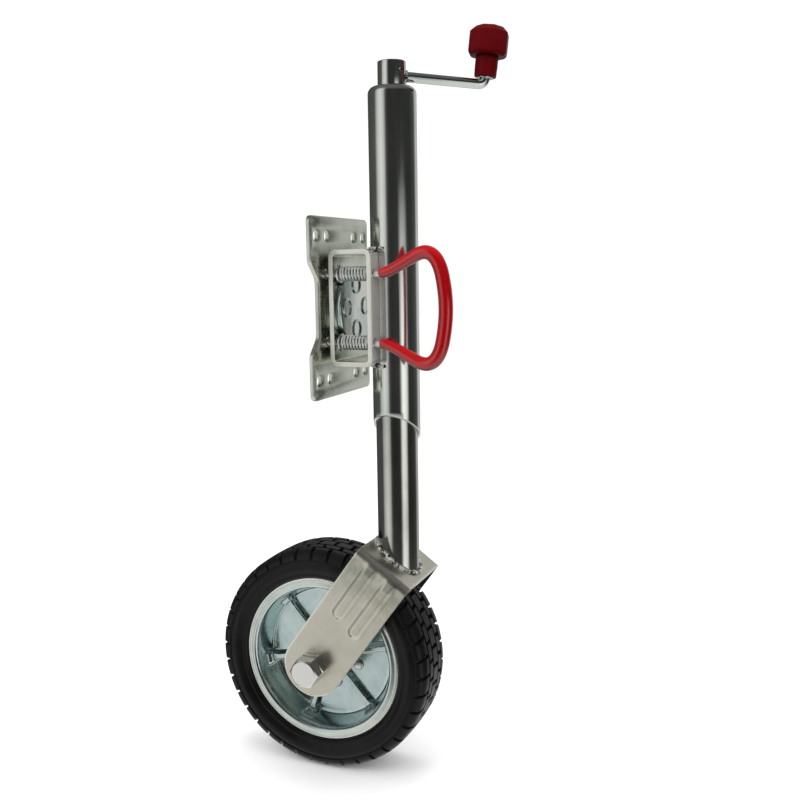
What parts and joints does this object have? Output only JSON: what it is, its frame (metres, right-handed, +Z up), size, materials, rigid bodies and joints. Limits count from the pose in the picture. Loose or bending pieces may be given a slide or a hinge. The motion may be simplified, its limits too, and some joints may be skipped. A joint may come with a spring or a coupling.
{
  "type": "swing-up trailer tongue jack",
  "caption": "Swing-up trailer jack: flanged mounting plate with pin-locked pivot, telescoping crank tube and a forked caster wheel.",
  "frame": {"origin": "centre of the mounting plate's back face, on the swivel pivot's axis", "axes": "+X from the mounting plate to the jack tube, +Y to the side away from the pull handle, +Z up along the jack tube to the crank"},
  "size_m": [0.3232, 0.153, 0.8182],
  "materials": {
    "zinc": "satin bright zinc plate",
    "fork_zinc": "glossy zinc plate with a warm grey cast",
    "rim_zinc": "bright blue-green passivated zinc",
    "chrome": "bright plated tube",
    "steel": "plain machined steel",
    "brass": "machined brass",
    "red_grip": "glossy dipped vinyl",
    "red_knob": "moulded plastic",
    "tyre": "black moulded rubber",
    "nylon": "moulded nylon"
  },
  "bodies": {
    "mount": {"mount_plate": "zinc", "pivot_boss": "zinc", "pivot_disc": "rim_zinc", "pivot_rivet_1": "steel", "pivot_rivet_2": "steel", "pivot_rivet_3": "steel", "pivot_rivet_4": "steel"},
    "jack": {"swivel_bracket": "zinc", "outer_tube": "chrome", "bearing_race_upper": "steel", "bearing_balls": "steel", "pin_spring_upper": "chrome", "pin_spring_lower": "chrome"},
    "handle": {"handle_rod": "chrome", "handle_grip": "red_grip", "pin_washer_upper": "zinc", "pin_washer_lower": "zinc"},
    "crank": {"bearing_race_lower": "steel", "drive_screw": "steel", "crank_hub": "chrome", "hub_pin": "steel", "crank_arm": "chrome", "knob_washer": "steel"},
    "knob": {"crank_knob": "red_knob"},
    "nut": {"lift_nut": "brass"},
    "leg": {"nut_ring": "steel", "inner_tube": "chrome", "fork": "fork_zinc", "axle_bolt": "chrome", "axle_collar": "zinc", "axle_washer_far": "zinc", "axle_nut": "chrome", "axle_spacer_near": "zinc", "axle_spacer_far": "zinc"},
    "wheel": {"tyre": "tyre", "rim_near": "rim_zinc", "rim_far": "rim_zinc", "hub_tube": "zinc", "hub_bush_near": "nylon", "hub_bush_far": "nylon", "rim_rivet_1": "zinc", "rim_rivet_2": "zinc", "rim_rivet_3": "zinc", "rim_rivet_4": "zinc", "rim_rivet_5": "zinc", "rim_rivet_6": "zinc"}
  },
  "joints": [
    {"name": "swing_up", "type": "hinge", "parent": "mount", "child": "jack", "pos_m": [0, 0, 0], "axis": [1, 0, 0], "range_deg": [-90, 90]},
    {"name": "pin_pull", "type": "slide", "parent": "jack", "child": "handle", "axis": [1, 0, 0], "range_m": [-0.0032, 0.012], "stiffness_N_per_m": 2500, "springref_m": -0.008, "deforming": ["pin_spring_upper", "pin_spring_lower"]},
    {"name": "crank_turn", "type": "hinge", "parent": "jack", "child": "crank", "pos_m": [0.068, 0, 0], "axis": [0, 0, 1], "range_deg": [-8100, 7830]},
    {"name": "knob_spin", "type": "hinge", "parent": "crank", "child": "knob", "pos_m": [0.15072, 0.0558, 0.23197], "axis": [0.0938, 0.0633, 0.9936], "continuous": true},
    {"name": "lift", "type": "slide", "parent": "jack", "child": "nut", "axis": [0, 0, 1], "range_m": [-0.1126, 0.1088]},
    {"name": "caster_swivel", "type": "hinge", "parent": "nut", "child": "leg", "pos_m": [0.068, 0, 0], "axis": [0, 0, 1], "continuous": true},
    {"name": "wheel_roll", "type": "hinge", "parent": "leg", "child": "wheel", "pos_m": [-0.018, 0, -0.3976], "axis": [0, 1, 0], "continuous": true}
  ],
  "couplings": [
    {"joint": "lift", "follows": "crank_turn", "m_per_rad": 0.00079577}
  ]
}
